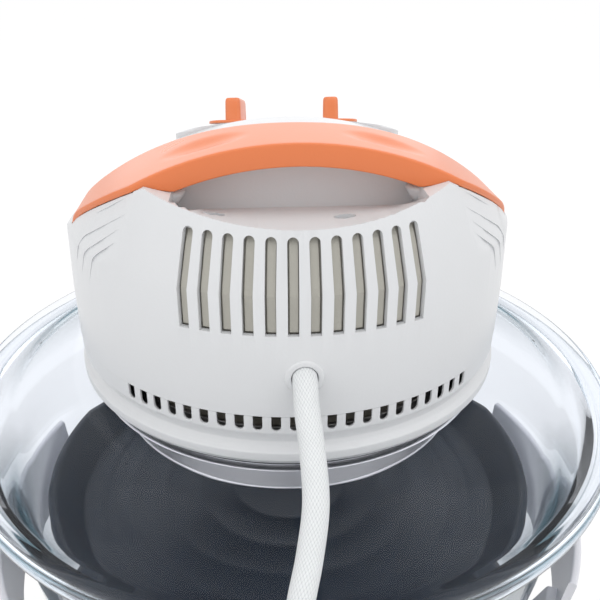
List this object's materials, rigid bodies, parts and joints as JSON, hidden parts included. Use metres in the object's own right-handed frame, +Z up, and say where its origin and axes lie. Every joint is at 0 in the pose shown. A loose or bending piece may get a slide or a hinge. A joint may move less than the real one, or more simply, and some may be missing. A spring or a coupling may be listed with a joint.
{
  "type": "halogen oven",
  "caption": "Countertop halogen oven: glass bowl in a handled stand, lift-off glass lid and a round heater head with a swinging arched handle, knobs and a mains lead.",
  "frame": {"origin": "on the table, under the middle of the bowl", "axes": "+Z up; +Y toward the back, where the lead leaves; the knobs face -Y; +X toward the timer knob's side"},
  "size_m": [0.33, 0.5213, 0.3092],
  "materials": {
    "white_plastic": "satin white moulding",
    "vane_grey": "matte beige grey",
    "orange_plastic": "satin orange moulding",
    "clear_glass": "clear tempered glass with a teal edge tint",
    "dark_rubber": "matte black silicone rubber",
    "bright_steel": "bright stainless steel",
    "dark_steel": "dark laminated or plated steel",
    "nonstick_coating": "black non-stick coating",
    "copper_winding": "enamelled copper winding",
    "frosted_quartz": "frosted quartz tube",
    "white_ceramic": "unglazed white ceramic",
    "grey_board": "pressed mica board",
    "plain_aluminium": "pressed aluminium",
    "white_braid": "white textile braid over a rubber lead",
    "black_plastic": "black moulding",
    "plug_brass": "nickelled brass pin",
    "amber_lens": "clear amber lens"
  },
  "bodies": {
    "stand": {"base_stand": "white_plastic", "stand_foot_1": "dark_rubber", "stand_foot_2": "dark_rubber", "stand_foot_3": "dark_rubber", "stand_foot_4": "dark_rubber"},
    "bowl": {"glass_bowl": "clear_glass"},
    "rack": {"low_rack": "bright_steel"},
    "pan": {"nonstick_pan": "nonstick_coating"},
    "lid_and_head": {"glass_lid": "clear_glass", "lid_gasket": "dark_rubber", "clamp_ring": "bright_steel", "clamp_screw_1": "bright_steel", "clamp_screw_2": "bright_steel", "clamp_screw_3": "bright_steel", "clamp_screw_4": "bright_steel", "lower_ring": "white_plastic", "upper_housing": "white_plastic", "vent_vanes": "vane_grey", "control_panel": "white_plastic", "power_light": "amber_lens", "heat_light": "amber_lens", "timer_body": "black_plastic", "thermostat_body": "black_plastic", "heater_shroud": "bright_steel", "reflector_plate": "plain_aluminium", "insulation_disc": "grey_board", "halogen_lamp": "frosted_quartz", "lamp_cap_left": "white_ceramic", "lamp_cap_right": "white_ceramic", "wire_guard": "bright_steel", "motor_core": "dark_steel", "motor_coil": "copper_winding", "motor_bracket": "dark_steel", "lower_bearing": "bright_steel", "upper_bearing": "bright_steel", "thermal_cutout": "black_plastic", "safety_switch": "black_plastic", "pivot_pin_left": "bright_steel", "pivot_pin_right": "bright_steel", "cord_bush": "white_plastic", "terminal_block": "white_plastic", "power_cord": "white_braid", "cord_coil": "white_braid", "cord_tie": "black_plastic", "plug_body": "white_plastic", "plug_pin_one": "plug_brass", "plug_pin_two": "plug_brass"},
    "handle": {"carry_handle": "orange_plastic"},
    "timer": {"timer_knob": "orange_plastic", "timer_shaft": "plain_aluminium"},
    "thermostat": {"thermostat_knob": "orange_plastic", "thermostat_shaft": "plain_aluminium"},
    "rotor": {"fan_shaft": "bright_steel", "convection_fan": "plain_aluminium", "cooling_fan": "black_plastic"},
    "plunger": {"switch_plunger": "white_plastic"}
  },
  "joints": [
    {"name": "bowl_lift", "type": "slide", "parent": "stand", "child": "bowl", "axis": [0, 0, 1], "range_m": [0, 0.12]},
    {"name": "rack_lift", "type": "slide", "parent": "bowl", "child": "rack", "axis": [0, 0, 1], "range_m": [0, 0.02]},
    {"name": "pan_lift", "type": "slide", "parent": "rack", "child": "pan", "axis": [0, 0, 1], "range_m": [0, 0.03]},
    {"name": "lid_lift", "type": "slide", "parent": "bowl", "child": "lid_and_head", "axis": [0, 0, 1], "range_m": [0, 0.15]},
    {"name": "handle_swing", "type": "hinge", "parent": "lid_and_head", "child": "handle", "pos_m": [0, -0.005, 0.248], "axis": [1, 0, 0], "range_deg": [0, 24]},
    {"name": "timer_turn", "type": "hinge", "parent": "lid_and_head", "child": "timer", "pos_m": [0.024, -0.038, 0.29171], "axis": [0, -0.2544, 0.9671], "range_deg": [0, 280]},
    {"name": "thermostat_turn", "type": "hinge", "parent": "lid_and_head", "child": "thermostat", "pos_m": [-0.024, -0.038, 0.29171], "axis": [0, -0.2544, 0.9671], "range_deg": [0, 280]},
    {"name": "fan_spin", "type": "hinge", "parent": "lid_and_head", "child": "rotor", "pos_m": [0, 0, 0.2], "axis": [0, 0, 1], "continuous": true},
    {"name": "plunger_slide", "type": "slide", "parent": "lid_and_head", "child": "plunger", "axis": [0, 0, 1], "range_m": [0, 0.003]}
  ],
  "couplings": [
    {"joint": "plunger_slide", "follows": "handle_swing", "m_per_rad": 0.0071}
  ]
}
